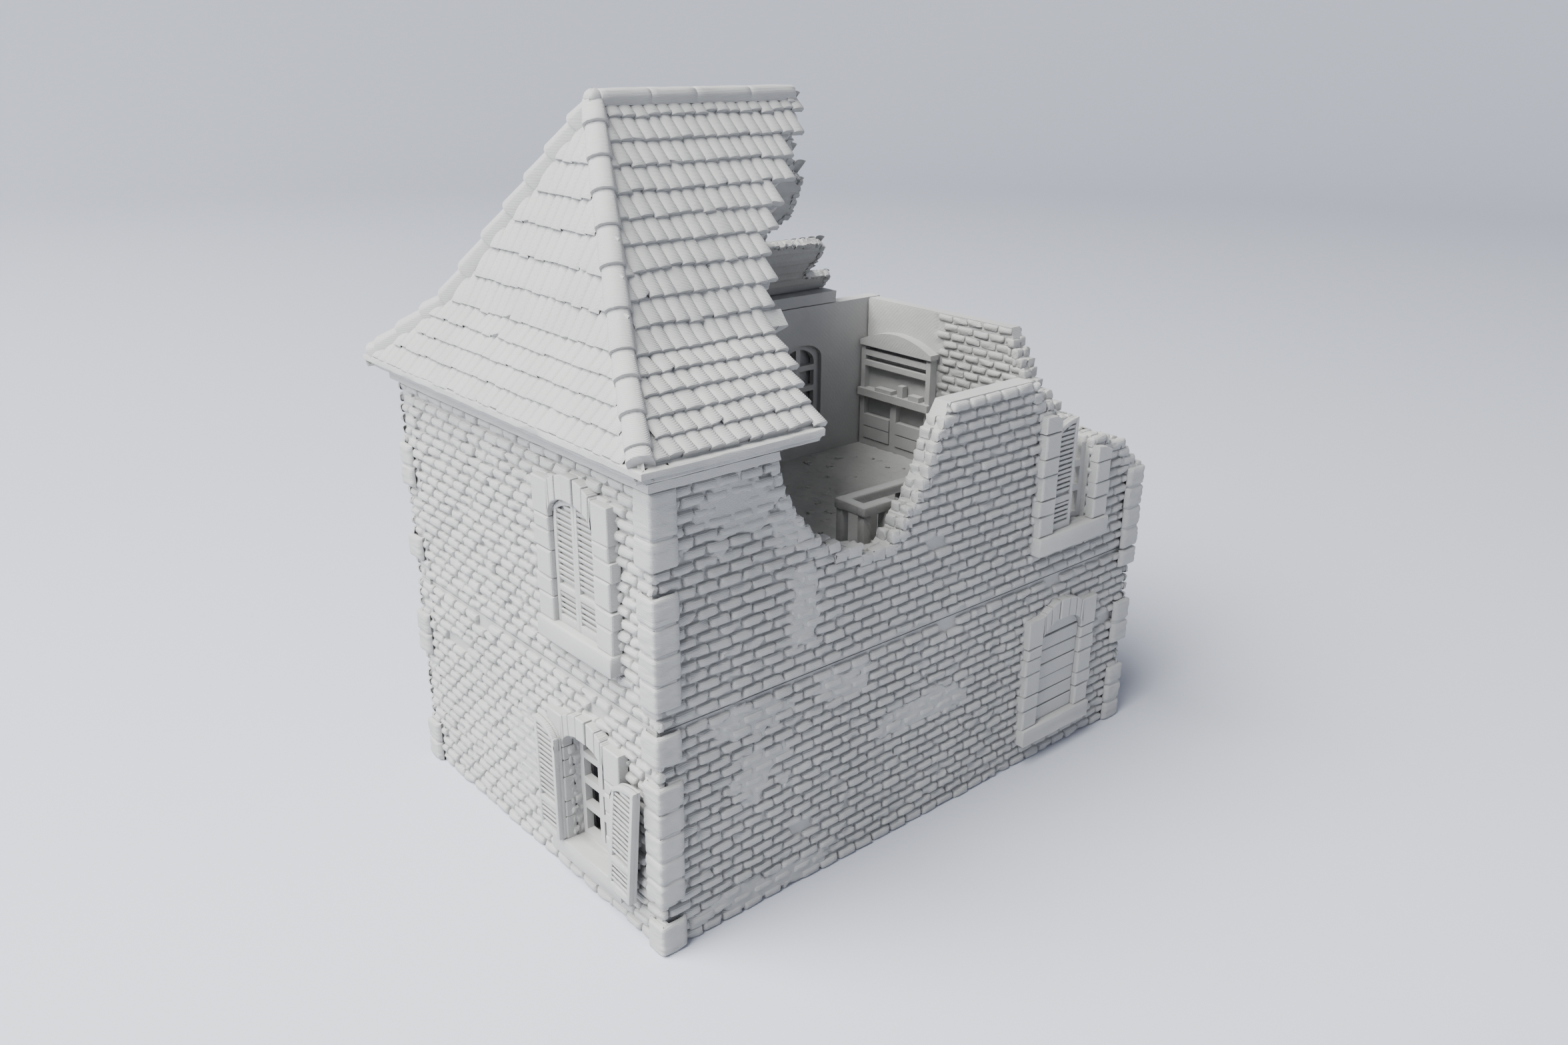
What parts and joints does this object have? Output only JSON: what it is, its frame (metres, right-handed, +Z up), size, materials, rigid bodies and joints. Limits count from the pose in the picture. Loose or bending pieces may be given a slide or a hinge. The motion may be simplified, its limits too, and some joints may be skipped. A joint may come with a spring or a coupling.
{
  "type": "miniature terrain ruin",
  "caption": "Ruined brick house for tabletop games, in stacked sections: ground storey, breached upper storey with stair and dresser, and a broken hipped tile roof.",
  "frame": {"origin": "centre of the whole outline seen from above, eaves included, on the table surface", "axes": "+X along the long front wall from the hip end towards the ruined end, +Y from the front wall to the back wall, +Z up"},
  "size_m": [0.188, 0.1322, 0.1954],
  "materials": {
    "printed_plastic": "matte, fine horizontal print layers"
  },
  "bodies": {
    "ground_storey": {"doorstep": "printed_plastic", "doorway_surround": "printed_plastic", "ground_back_shutters": "printed_plastic", "ground_floor_slab": "printed_plastic", "ground_locating_lip": "printed_plastic", "ground_quoins": "printed_plastic", "ground_shutter_askew": "printed_plastic", "ground_shutter_folded": "printed_plastic", "ground_wall_back": "printed_plastic", "ground_wall_front": "printed_plastic", "ground_wall_left": "printed_plastic", "ground_wall_right": "printed_plastic", "ground_window_boards": "printed_plastic", "ground_window_frame": "printed_plastic", "ground_window_sills": "printed_plastic", "ground_window_surrounds": "printed_plastic", "stair_handrail": "printed_plastic", "stair_posts": "printed_plastic", "staircase": "printed_plastic"},
    "upper_storey": {"dresser_case": "printed_plastic", "dresser_clutter": "printed_plastic", "dresser_drawers": "printed_plastic", "dresser_pediment": "printed_plastic", "dresser_shelves": "printed_plastic", "guard_posts": "printed_plastic", "guard_rail": "printed_plastic", "upper_back_shutters": "printed_plastic", "upper_back_surround": "printed_plastic", "upper_floor_slab": "printed_plastic", "upper_frieze": "printed_plastic", "upper_front_shutter": "printed_plastic", "upper_front_surround": "printed_plastic", "upper_left_shutters": "printed_plastic", "upper_left_surround": "printed_plastic", "upper_quoins": "printed_plastic", "upper_wall_back": "printed_plastic", "upper_wall_front": "printed_plastic", "upper_wall_left": "printed_plastic", "upper_wall_right": "printed_plastic", "upper_window_frames": "printed_plastic", "upper_window_sills": "printed_plastic"},
    "roof": {"cornice_back": "printed_plastic", "cornice_front": "printed_plastic", "cornice_left": "printed_plastic", "hip_tiles_back": "printed_plastic", "hip_tiles_front": "printed_plastic", "purlin": "printed_plastic", "ridge_capping": "printed_plastic", "ridge_knob": "printed_plastic", "roof_back_slope": "printed_plastic", "roof_front_slope": "printed_plastic", "roof_hip_end": "printed_plastic", "roof_locating_lip": "printed_plastic"}
  },
  "joints": [
    {"name": "upper_storey_lift", "type": "slide", "parent": "ground_storey", "child": "upper_storey", "axis": [0, 0, 1], "range_m": [0, 0.04]},
    {"name": "roof_lift", "type": "slide", "parent": "upper_storey", "child": "roof", "axis": [0, 0, 1], "range_m": [0, 0.02]}
  ]
}
